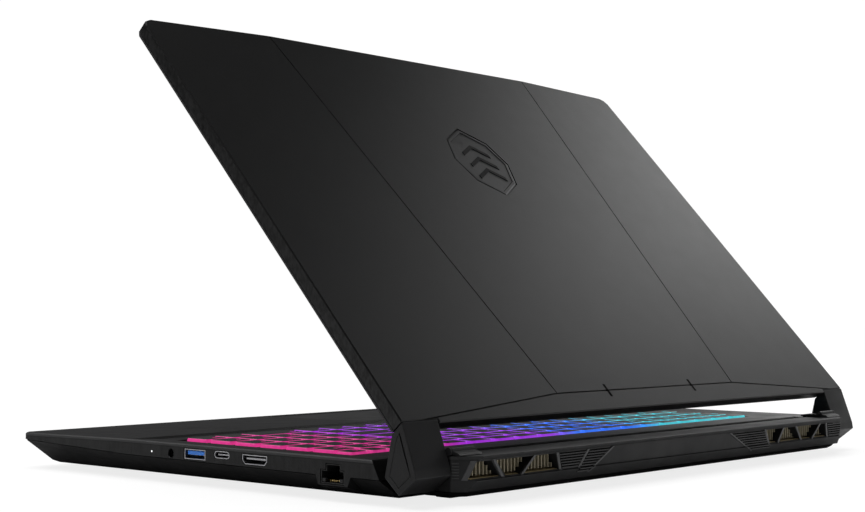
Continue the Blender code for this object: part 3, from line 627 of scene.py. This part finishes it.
def add_rings(bm, rings, indices, cap_index):
    """Joins equal rings of points in metres, and closes the first and the last.

    indices holds a material index for each band between two rings.
    """
    rows = [[bm.verts.new(p) for p in ring] for ring in rings]
    count = len(rows[0])
    for row, (lower, upper) in enumerate(zip(rows, rows[1:])):
        for i in range(count):
            j = (i + 1) % count
            face = bm.faces.new((lower[i], lower[j], upper[j], upper[i]))
            face.material_index = indices[row]
            face.smooth = True
    bm.faces.new(rows[0][::-1]).material_index = indices[0]
    bm.faces.new(rows[-1]).material_index = cap_index


# ---- keyboard -----------------------------------------------------------------------
def row_y(row):
    front = KEY_FRONT_Y + row * KEY_ROW_PITCH
    return front, front + KEY_DEPTH


def main_caps(start, widths):
    caps = []
    for width in widths:
        x0 = KEY_LEFT_X + start * KEY_UNIT
        start += width
        caps.append((x0, KEY_LEFT_X + start * KEY_UNIT - KEY_GAP))
    return caps


def all_keys():
    """Every cap's (x0, y0, x1, y1), by the key group that it belongs to."""
    keys = {}
    for name, rows in MAIN_GROUPS.items():
        keys[name] = [
            (x0, row_y(row)[0], x1, row_y(row)[1])
            for row, start, widths in rows for x0, x1 in main_caps(start, widths)
        ]
    columns = [NUMPAD_LEFT_X + i * NUMPAD_PITCH for i in range(4)]
    caps = [(x, x + NUMPAD_PITCH - KEY_GAP) for x in columns]
    wide_zero = [(caps[0][0], caps[1][1]), caps[2], caps[3]]
    keys["numpad_keys"] = [
        (x0, row_y(row)[0], x1, row_y(row)[1])
        for row in range(6) for x0, x1 in (caps if row else wide_zero)
    ]
    strip = [KEY_LEFT_X + i * STRIP_PITCH for i in range(18)]
    half_height = [(x, x + STRIP_PITCH - KEY_GAP) for x in strip[:-1]]
    half_height.append((strip[-1], POWER_KEY_X[0] - KEY_GAP))
    keys["media_keys"] = [(x0, STRIP_FRONT_Y, x1, STRIP_REAR_Y) for x0, x1 in half_height]
    keys["power_button"] = [(POWER_KEY_X[0], STRIP_FRONT_Y, POWER_KEY_X[1], STRIP_REAR_Y)]
    return keys


CAP_LEVELS = [            # inset of the outline, height, and the look of the wall above it
    (0.25, CAP_BOTTOM, 1),
    (0.0, CAP_BOTTOM + 0.35, 1),
    (0.25, KEY_TOP - 0.62, 1),
    (0.45, KEY_TOP - 0.22, 0),
    (0.75, KEY_TOP - 0.05, 0),
    (1.10, KEY_TOP, 0),
    (2.40, KEY_TOP - 0.07, 0),
    (3.60, KEY_TOP - 0.12, 0),
]


def build_caps(keys):
    for name, caps in keys.items():
        bm = bmesh.new()
        for x0, y0, x1, y1 in caps:
            rings = []
            for inset, z, _ in CAP_LEVELS:
                radius = max(0.25, 1.3 - inset * 0.3)
                outline = rounded(x0 + inset, y0 + inset, x1 - inset, y1 - inset, radius)
                rings.append([mm(x, y, z) for x, y in outline])
            add_rings(bm, rings, [level[2] for level in CAP_LEVELS], 0)
        piece(f"caps_{name}", bm, ("keycap", "glow_wall"), name, (name,))


def build_legends(keys):
    """Plain letters, figures and signs on the caps, each set a little into the top's dish."""
    for name, caps in keys.items():
        words = LEGENDS[name].split()
        if not words:
            continue
        bm = bmesh.new()
        for (x0, y0, x1, y1), word in zip(caps, words):
            curve = bpy.data.curves.new("legend", "FONT")
            curve.body = word
            curve.size = 5.2 * SCALE if len(word) == 1 else 3.6 * SCALE
            curve.resolution_u = 2
            text = bpy.data.objects.new("legend", curve)
            bpy.context.scene.collection.objects.link(text)
            shape = text.to_mesh()
            shape.transform(Matrix.Translation(mm(x0 + 2.6, y1 - 6.6, KEY_TOP - 0.035)))
            bm.from_mesh(shape)
            text.to_mesh_clear()
            bpy.data.objects.remove(text)
            bpy.data.curves.remove(curve)
        bmesh.ops.remove_doubles(bm, verts=bm.verts, dist=1e-6)
        grown = bmesh.ops.extrude_face_region(bm, geom=list(bm.faces))
        bmesh.ops.translate(
            bm, vec=mm(0, 0, 0.045),
            verts=[part for part in grown["geom"] if isinstance(part, bmesh.types.BMVert)],
        )
        piece(f"legends_{name}", bm, ("glow_legend",), name)


def build_lattice(keys):
    """The bars between the keys, and the lit sheet under them."""
    gap = 0.35
    holes = [(x0 - gap, y0 - gap, x1 + gap, y1 + gap) for caps in keys.values() for x0, y0, x1, y1 in caps]
    left, front, right, rear = -154.7, -36.4, 161.2, 71.0
    xs = sorted({round(x, 3) for hole in holes for x in (hole[0], hole[2])} | {left, right})
    ys = sorted({round(y, 3) for hole in holes for y in (hole[1], hole[3])} | {front, rear})

    def filled(i, j):
        if not (0 <= i < len(xs) - 1 and 0 <= j < len(ys) - 1):
            return False
        x, y = (xs[i] + xs[i + 1]) / 2, (ys[j] + ys[j + 1]) / 2
        return not any(x0 < x < x1 and y0 < y < y1 for x0, y0, x1, y1 in holes)

    bm = bmesh.new()
    verts = {}

    def vert(i, j, z):
        if (i, j, z) not in verts:
            verts[(i, j, z)] = bm.verts.new(mm(xs[i], ys[j], z))
        return verts[(i, j, z)]

    low, high = 14.7, 15.9
    for i in range(len(xs) - 1):
        for j in range(len(ys) - 1):
            if not filled(i, j):
                continue
            square = ((i, j), (i + 1, j), (i + 1, j + 1), (i, j + 1))
            for z in (low, high):
                bm.faces.new([vert(a, b, z) for a, b in square])
            for edge, (di, dj) in enumerate(((0, -1), (1, 0), (0, 1), (-1, 0))):
                if not filled(i + di, j + dj):
                    a, b = square[edge], square[(edge + 1) % 4]
                    bm.faces.new((vert(*a, low), vert(*b, low), vert(*b, high), vert(*a, high)))
    piece("key_lattice", bm, ("keycap",), "base")

    bm = bmesh.new()
    add_rings(bm, [
        [mm(x, y, z) for x, y in rounded(left + edge, front + edge, right - edge, rear - edge, 1.2)]
        for edge, z in ((0.0, 13.45), (0.0, 13.55), (0.1, 13.65))
    ], [0, 0], 0)
    piece("backlight_sheet", bm, ("glow_sheet",), "base")


# ---- hinge legs ---------------------------------------------------------------------
LEG_PROFILE = [               # (y, z) in lid coordinates
    (-12.4, 4.43), (-9.3, 3.13), (5.2, -2.87), (8.0, -4.67), (7.1, -15.67), (-2.6, -16.67), (-12.2, -2.77),
]


LEG_INNER_X, LEG_OUTER_X = 158.0, 178.5
LEG_BEVEL = 0.45
LEG_GROOVE = [(2.0, 0.0), (0.22, -0.28), (0.25, 0.0), (0.22, 0.24)]     # step in, step out


def build_legs():
    """Faceted blocks with a fine groove that follows the outline of the outer face."""
    for side, word in ((1, "right"), (-1, "left")):
        bm = bmesh.new()
        add_prism(bm, LEG_PROFILE, "X", side * LEG_INNER_X, side * LEG_OUTER_X)
        bmesh.ops.recalc_face_normals(bm, faces=bm.faces)
        bmesh.ops.bevel(
            bm, geom=list(bm.edges), offset=LEG_BEVEL * SCALE, segments=2, profile=0.6, affect="EDGES",
        )
        bm.faces.ensure_lookup_table()
        outer = max(bm.faces, key=lambda f: side * f.calc_center_median().x + f.calc_area())
        for inward, outward in LEG_GROOVE:
            bmesh.ops.inset_individual(
                bm, faces=[outer], thickness=inward * SCALE, depth=outward * SCALE,
            )
        bm.transform(lid_matrix())
        piece(f"leg_{word}", bm, ("leg",), "lid", (f"hinge_leg_{word}",))


# ---- rear vents ---------------------------------------------------------------------
SILL, HEAD = 9.9, 16.6        # heights of the vent openings
SPOILER_EDGE = 0.3            # how far strips run past the head
CHAMFER_X, CHAMFER_Y = 150.3, 127.5
CHAMFER_SLOPE = 7.5 / 6.9
RIB_PITCH, RIB_HALF, RIB_START = 1.12, 0.24, 0.35
FIN_PITCH, FIN_HALF = 2.2, 0.28
STRUTS_LEFT = [(-75.7, -70.0), (-84.5, -88.5), (-108.5, -101.0), (-119.8, -126.5), (-136.4, -133.0)]
STRUTS_RIGHT = [(153.7, 151.2), (133.75, 140.85), (122.0, 114.5), (96.1, 99.6), (83.4, 77.9)]


def wall_y(z):
    """The vent panel's rear face at a height."""
    if z >= 9.6:
        return 126.9 + (z - 9.6) * (128.2 - 126.9) / 7.6
    if z >= 9.2:
        return 127.6 - (z - 9.2) * 0.7 / 0.4
    return 124.6 + (z - 4.9) * 3.0 / 4.3


def chamfer_y(x):
    return CHAMFER_Y + (CHAMFER_X - abs(x)) * CHAMFER_SLOPE


def on_wall(x, z):
    """A point on the vent panel's rear face or on its corner chamfer, in metres."""
    return mm(x, min(wall_y(z), chamfer_y(x)), z)


def slant(bm, low, high, half, proud):
    """A thin strip on the vent wall between (x, z) low and high, which carries a painted highlight."""
    steps = 16
    for step in range(steps):
        a, b = step / steps, (step + 1) / steps
        xa, xb = lerp(low[0], high[0], a), lerp(low[0], high[0], b)
        za, zb = lerp(low[1], high[1], a), lerp(low[1], high[1], b)
        add_bar(
            bm, on_wall(xa - half, za), on_wall(xa + half, za),
            on_wall(xb + half, zb), on_wall(xb - half, zb), mm(0, proud, 0),
        )


def rib_field(bm, low, high):
    """A near-black ground of painted shade, with level ribs painted lighter as a highlight, between (z, x0,
    x1) at the bottom and at the top.
    """
    rise = mm(0, 0, RIB_HALF)
    steps = 12
    for step in range(steps):
        a, b = step / steps, (step + 1) / steps
        corners = [
            on_wall(lerp(low[1], high[1], a), lerp(low[0], high[0], a)),
            on_wall(lerp(low[2], high[2], a), lerp(low[0], high[0], a)),
            on_wall(lerp(low[2], high[2], b), lerp(low[0], high[0], b)),
            on_wall(lerp(low[1], high[1], b), lerp(low[0], high[0], b)),
        ]
        # Painted shade: the near-black ground between the ribs.
        add_bar(bm, *corners, mm(0, 0.08, 0), 1)
    for row in range(int((high[0] - low[0] - 0.3) / RIB_PITCH) + 1):
        z = low[0] + RIB_START + row * RIB_PITCH
        share = (z - low[0]) / (high[0] - low[0])
        a = on_wall(lerp(low[1], high[1], share), z)
        b = on_wall(lerp(low[2], high[2], share), z)
        add_bar(bm, a - rise, b - rise, b + rise, a + rise, mm(0, 0.40, 0))


WINDOWS = [                   # open spans between struts: (x0, x1) at the sill, then at the head
    ((135.5, 153.0), (142.2, 150.5)), ((123.0, 132.0), (115.5, 139.5)), ((97.0, 121.0), (100.5, 113.5)),
] + [
    ((low_b + 0.9, low_a - 0.9), (high_b + 0.9, high_a - 0.9))
    for (low_a, high_a), (low_b, high_b) in zip(STRUTS_LEFT, STRUTS_LEFT[1:])
]
FRAMES = [                    # painted highlights along the edges of the ribbed triangles, (x, z)
    ((76.0, 7.3), (60.0, HEAD + SPOILER_EDGE)), ((-60.0, 6.8), (-37.0, HEAD + SPOILER_EDGE)),
]
RIB_FIELDS = [                # (z, x0, x1) at the bottom and at the top
    ((SILL, 84.5, 95.0), (HEAD, 79.0, 98.6)), ((7.6, 76.6, 84.6), (HEAD, 61.4, 76.8)),
    ((7.6, -77.2, -59.2), (HEAD, -68.8, -38.6)), ((SILL, -150.0, -137.8), (HEAD, -150.0, -134.4)),
]
CORNER_RIBS = [(1, 155.0), (-1, 151.4)]     # side, and where the chamfer's ribs end


def build_vents():
    # Painted highlight: lighter strips on the struts' fronts and along the ribbed triangles' edges.
    bm = bmesh.new()
    for low, high in STRUTS_RIGHT + STRUTS_LEFT:
        slant(bm, (low, SILL - 0.5), (high, HEAD + SPOILER_EDGE), 0.78, 0.28)
    for low, high in FRAMES:
        slant(bm, low, high, 0.75, 0.45)
    piece("vent_strut_painted_highlights", bm, ("facing",), "base")

    bm = bmesh.new()
    for low, high in RIB_FIELDS:
        rib_field(bm, low, high)
    rise = mm(0, 0, RIB_HALF)
    for side, inner_x in CORNER_RIBS:
        out = mm(side * 0.736, 0.677, 0) * 0.3
        for row in range(6):
            z = SILL + RIB_START + row * RIB_PITCH
            a, b = mm(side * 156.9, 120.35, z), mm(side * inner_x, chamfer_y(inner_x), z)
            add_bar(bm, a - rise, b - rise, b + rise, a + rise, out)
    piece("vent_ribs", bm, ("rib", "groove"), "base")

    bm = bmesh.new()
    for (low_0, low_1), _ in WINDOWS:
        ledge = [(119.7, SILL + 0.05), (126.2, SILL + 0.05), (126.2, SILL + 0.30), (119.7, SILL + 0.9)]
        add_prism(bm, ledge, "X", low_0 + 0.2, low_1 - 0.2)
    piece("vent_ledges", bm, ("ledge",), "base")

    bm = bmesh.new()
    for window in WINDOWS:
        for x, z0, z1 in window_fins(*window):
            add_prism(bm, rectangle(119.8, z0, 124.6, z1), "X", x - FIN_HALF, x + FIN_HALF)
    piece("vent_fin_tips", bm, ("fins",), "base")


def window_fins(low, high):
    """The upright fins that show in a slanted window, each as x and its two heights."""
    steps, margin, gap = 40, 0.45, 0.12
    x = math.ceil(min(low[0], high[0]) / FIN_PITCH) * FIN_PITCH
    while x < max(low[1], high[1]):
        shares = [
            step / steps for step in range(steps + 1)
            if lerp(low[0], high[0], step / steps) + margin < x
            < lerp(low[1], high[1], step / steps) - margin
        ]
        if len(shares) > 4:
            z0, z1 = lerp(SILL, HEAD, shares[0]) + gap, lerp(SILL, HEAD, shares[-1]) - gap
            yield x, max(z0, SILL + 1.0), z1
        x += FIN_PITCH


# ---- sockets ------------------------------------------------------------------------
USB_SOCKETS = [(1, -8.6), (-1, 21.5), (-1, 47.5)]       # side, and the tongue's front y
USB_TONGUE_LENGTH = 10.4


def build_socket_details():
    bm = bmesh.new()
    for side, y0 in USB_SOCKETS:
        outline = rectangle(y0 - 0.08, 13.12, y0 + USB_TONGUE_LENGTH + 0.08, 14.78)
        add_prism(bm, outline, "X", side * 171.0, side * 178.6)
    tongues = piece("usb_tongues", bm, ("blue",), "base")
    soften(tongues, 0.12)

    bm = bmesh.new()
    for side, y0 in USB_SOCKETS:
        for pin in range(4):
            y = y0 + 1.6 + pin * 2.4
            add_prism(bm, rectangle(y, 12.98, y + 1.1, 13.1), "X", side * 172.0, side * 178.0)
    for pin in range(8):
        y = 74.2 + pin * 1.17
        add_prism(bm, rectangle(y, 7.75, y + 0.5, 8.25), "X", 170.5, 177.5)
    piece("socket_contacts", bm, ("contact",), "base")

    bm = bmesh.new()
    for y0 in (72.75, 82.2):
        add_prism(bm, rectangle(y0, 7.6, y0 + 1.7, 8.9), "X", 177.6, 179.2)
    piece("ethernet_lugs", bm, ("bracket",), "base")

    bm = bmesh.new()
    rings = []
    for x, radius in ((179.35, 2.25), (179.62, 2.2), (179.62, 1.95), (179.0, 1.85)):
        rings.append([mm(x - 0.12, y, z) for y, z in circle(-18.9, 13.0, radius, 28)])
    rows = [[bm.verts.new(p) for p in ring] for ring in rings]
    for lower, upper in zip(rows, rows[1:] + rows[:1]):
        for i in range(28):
            j = (i + 1) % 28
            bm.faces.new((lower[i], lower[j], upper[j], upper[i])).smooth = True
    piece("audio_ring", bm, ("screw",), "base")

    bm = bmesh.new()
    add_rings(bm, [
        [mm(x, y, z) for y, z in circle(-31.7, 13.1, radius, 16)]
        for x, radius in ((179.3, 0.42), (179.52, 0.42), (179.58, 0.25))
    ], [0, 0], 0)
    piece("status_led", bm, ("led",), "base")


# ---- lid details --------------------------------------------------------------------
BADGE_Y, BADGE_HALF_WIDTH, BADGE_HALF_HEIGHT = -171.4, 21.5, 24.5
CHEVRONS = (-0.50, -0.16, 0.18)             # where each starts, in half heights of the badge
CHEVRON_HALF, CHEVRON_RISE, CHEVRON_THICK = 10.3974, 6.0, 2.6
SLOT_HALF, SLOT_LOW_Y, SLOT_HIGH_Y = 0.85, -24.8, -17.6
BUMPERS = [(-120.0, -20.5), (120.0, -20.5), (-150.0, -242.6), (150.0, -242.6)]


def badge_outline(scale, z):
    w, h = BADGE_HALF_WIDTH, BADGE_HALF_HEIGHT
    points = [(0, -h), (16, -15), (w, 0), (16, 15), (0, h), (-16, 15), (-w, 0), (-16, -15)]
    return [mm(x * scale, BADGE_Y + y * scale, z) for x, y in points]


def build_lid_details():
    top = LID_OUTER_Z
    bm = bmesh.new()
    profile = ((0.972, -0.48), (0.972, -0.24), (0.945, -0.08), (0.88, -0.08), (0.86, -0.3))
    rings = [badge_outline(scale, top + lift) for scale, lift in profile]
    add_rings(bm, rings, [0, 0, 0, 1], 0)
    for place in CHEVRONS:
        y0 = BADGE_Y + place * BADGE_HALF_HEIGHT
        y1 = y0 + CHEVRON_RISE
        for x in (CHEVRON_HALF, -CHEVRON_HALF):
            a, b = mm(0, y0, top - 0.3), mm(x, y1, top - 0.3)
            thick = mm(0, CHEVRON_THICK, 0)
            add_bar(bm, a, b, b + thick, a + thick, mm(0, 0, 0.2), 1)
    for face in bm.faces:
        face.smooth = False
    bm.transform(lid_matrix())
    piece("badge", bm, ("badge", "badge_line"), "lid", ("lid_badge",))

    # Painted shadow: near-black plates a little larger than the lid's slots.
    bm = bmesh.new()
    for x in (-35.0, 35.0):
        outline = rounded(x - SLOT_HALF, SLOT_LOW_Y, x + SLOT_HALF, SLOT_HIGH_Y, 0.35)
        add_rings(bm, [[mm(px, py, z) for px, py in outline] for z in (top - 0.2, top + 0.03)], [0], 0)
    bm.transform(lid_matrix())
    piece("lid_slot_painted_shadow", bm, ("groove",), "lid")

    bm = bmesh.new()
    add_rings(bm, [
        [mm(px, py, z) for px, py in circle(0, -243.2, radius, 24)]
        for z, radius in ((-2.05, 1.5), (-2.35, 1.5), (-2.5, 1.2), (-2.45, 0.9))
    ], [0, 0, 0], 1)
    bm.transform(lid_matrix())
    piece("webcam_lens", bm, ("bezel", "lens"), "lid")

    bm = bmesh.new()
    for x, y in BUMPERS:
        add_rings(bm, [
            [mm(px, py, LID_INNER_Z + lift) for px, py in rounded(x - w, y - h, x + w, y + h, radius)]
            for lift, w, h, radius in ((0.05, 6, 1.1, 1.05), (-0.2, 6, 1.1, 1.05), (-0.3, 5.7, 0.8, 0.75))
        ], [0, 0], 0)
    bm.transform(lid_matrix())
    piece("screen_bumpers", bm, ("rubber",), "lid")


# ---- underside ----------------------------------------------------------------------
SCREWS = [(-160, -104), (-80, -106), (0, -106), (80, -106), (160, -104), (-160, 0), (0, 0), (160, 0),
          (-150, 90), (-70, 92), (0, 92), (70, 92), (150, 90)]


def build_underside():
    bm = bmesh.new()
    for x, y in SCREWS:
        rings = [
            [mm(px, py, z) for px, py in circle(x, y, radius, 24)]
            for z, radius in ((2.55, 3.0), (2.15, 3.0), (2.0, 2.8), (2.0, 1.5), (2.35, 1.2), (2.45, 0.4))
        ]
        add_rings(bm, rings, [0] * 5, 0)
    piece("cover_screws", bm, ("screw",), "base")

    bm = bmesh.new()
    for side in (1, -1):
        for row in range(6):
            y = 43.2 + row * 8.0
            add_prism(bm, rectangle(side * 85.0, y, side * 135.0, y + 0.8), "Z", 2.25, 2.58)
    ribs = piece("intake_ribs", bm, ("cover",), "base")
    soften(ribs, 0.15)

    # Painted shade: the grille's slots are near-black plates.
    bm = bmesh.new()
    for side in (1, -1):
        for row in range(14):
            x, y = side * 150.0, -96.0 + row * 3.0
            add_prism(bm, rounded(x - 5.0, y, x + 5.0, y + 1.0, 0.45, 3), "Z", 2.3, 2.56)
    piece("speaker_grille", bm, ("groove",), "base")


# ---- touchpad -----------------------------------------------------------------------
def build_touchpad_line():
    """A thin rim just inside the pad's edge, lying in the sloping deck's plane."""
    low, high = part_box("touchpad")
    bm = bmesh.new()
    x0, y0, x1, y1 = low.x / SCALE, low.y / SCALE, high.x / SCALE, high.y / SCALE
    front_z = DECK_TOP - DECK_FRONT_DROP + DECK_SLOPE * (y0 - DECK_FRONT_Y) - 0.2

    def on_pad(x, y, lift):
        return mm(x, y, front_z + DECK_SLOPE * (y - y0) + lift)

    outer, inner = [
        rounded(x0 + inset, y0 + inset, x1 - inset, y1 - inset, radius)
        for inset, radius in ((0.4, 1.5), (0.9, 1.2))
    ]
    rows = [
        [bm.verts.new(on_pad(x, y, lift)) for x, y in outline]
        for outline, lift in ((outer, -0.05), (outer, 0.06), (inner, 0.06), (inner, -0.05))
    ]
    for lower, upper in zip(rows, rows[1:] + rows[:1]):
        for i in range(len(outer)):
            j = (i + 1) % len(outer)
            bm.faces.new((lower[i], lower[j], upper[j], upper[i]))
    piece("touchpad_edge", bm, ("facing",), "touchpad")


# ---- finishes of the carried-over nodes ----------------------------------------------
NODE_LOOKS = {
    "lower_shell": "cover", "upper_deck": "deck", "rear_vent_panel": "vent_panel",
    "rear_foot": "rubber", "front_foot_right": "rubber", "front_foot_left": "rubber",
    "keyboard_tray": "frame_metal", "touchpad": "touch", "touchpad_frame": "frame_metal",
    "usb_a_port_right": "steel", "usb_c_port": "steel", "hdmi_port": "steel",
    "ethernet_port": "socket_black", "usb_a_port_left_front": "steel", "usb_a_port_left_rear": "steel",
    "power_jack": "socket_black", "audio_jack": "socket_black", "battery_pack": "cells",
    "mainboard": "board", "processor_block": "copper", "graphics_block": "copper",
    "heat_pipe_lower": "copper", "heat_pipe_upper": "copper", "ssd_module": "module",
    "memory_module": "module", "wireless_card": "module", "speaker_right": "module",
    "speaker_left": "module", "fan_housing_right": "fan", "fan_housing_left": "fan",
    "fan_rotor_right": "fan", "fan_rotor_left": "fan", "heatsink_fins_right": "fins",
    "heatsink_fins_left": "fins", "hinge_bracket_right": "bracket", "hinge_bracket_left": "bracket",
    "lid_cover": "lid", "screen_bezel": "bezel", "display_panel": "glass",
    "webcam_module": "module", "hinge_pin_right": "bracket", "hinge_pin_left": "bracket",
}
SOFTENED = {
    "lower_shell": 0.25, "upper_deck": 0.18, "rear_vent_panel": 0.2, "lid_cover": 0.2,
    "screen_bezel": 0.15, "touchpad": 0.2, "rear_foot": 0.3, "front_foot_right": 0.3, "front_foot_left": 0.3,
    "usb_a_port_right": 0.1, "usb_c_port": 0.1, "hdmi_port": 0.1, "ethernet_port": 0.1,
    "usb_a_port_left_front": 0.1, "usb_a_port_left_rear": 0.1,
}


def finish_nodes():
    for name, look in NODE_LOOKS.items():
        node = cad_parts[name]
        for slot in range(max(1, len(node.material_slots))):
            if slot < len(node.data.materials):
                node.data.materials[slot] = LOOKS[look]
            else:
                node.data.materials.append(LOOKS[look])
        custom = node.data.attributes.get("custom_normal")
        if custom:
            node.data.attributes.remove(custom)
        node.data.shade_flat()
        if name in SOFTENED:
            soften(node, SOFTENED[name])


# ---- the whole scene ----------------------------------------------------------------
make_camera()
make_lights()
make_world()
make_floor()
LOOKS = make_looks()
KEYS = all_keys()
build_caps(KEYS)
build_legends(KEYS)
build_lattice(KEYS)
build_legs()
build_vents()
build_socket_details()
build_lid_details()
build_underside()
build_touchpad_line()
finish_nodes()

bpy.context.view_layer.update()
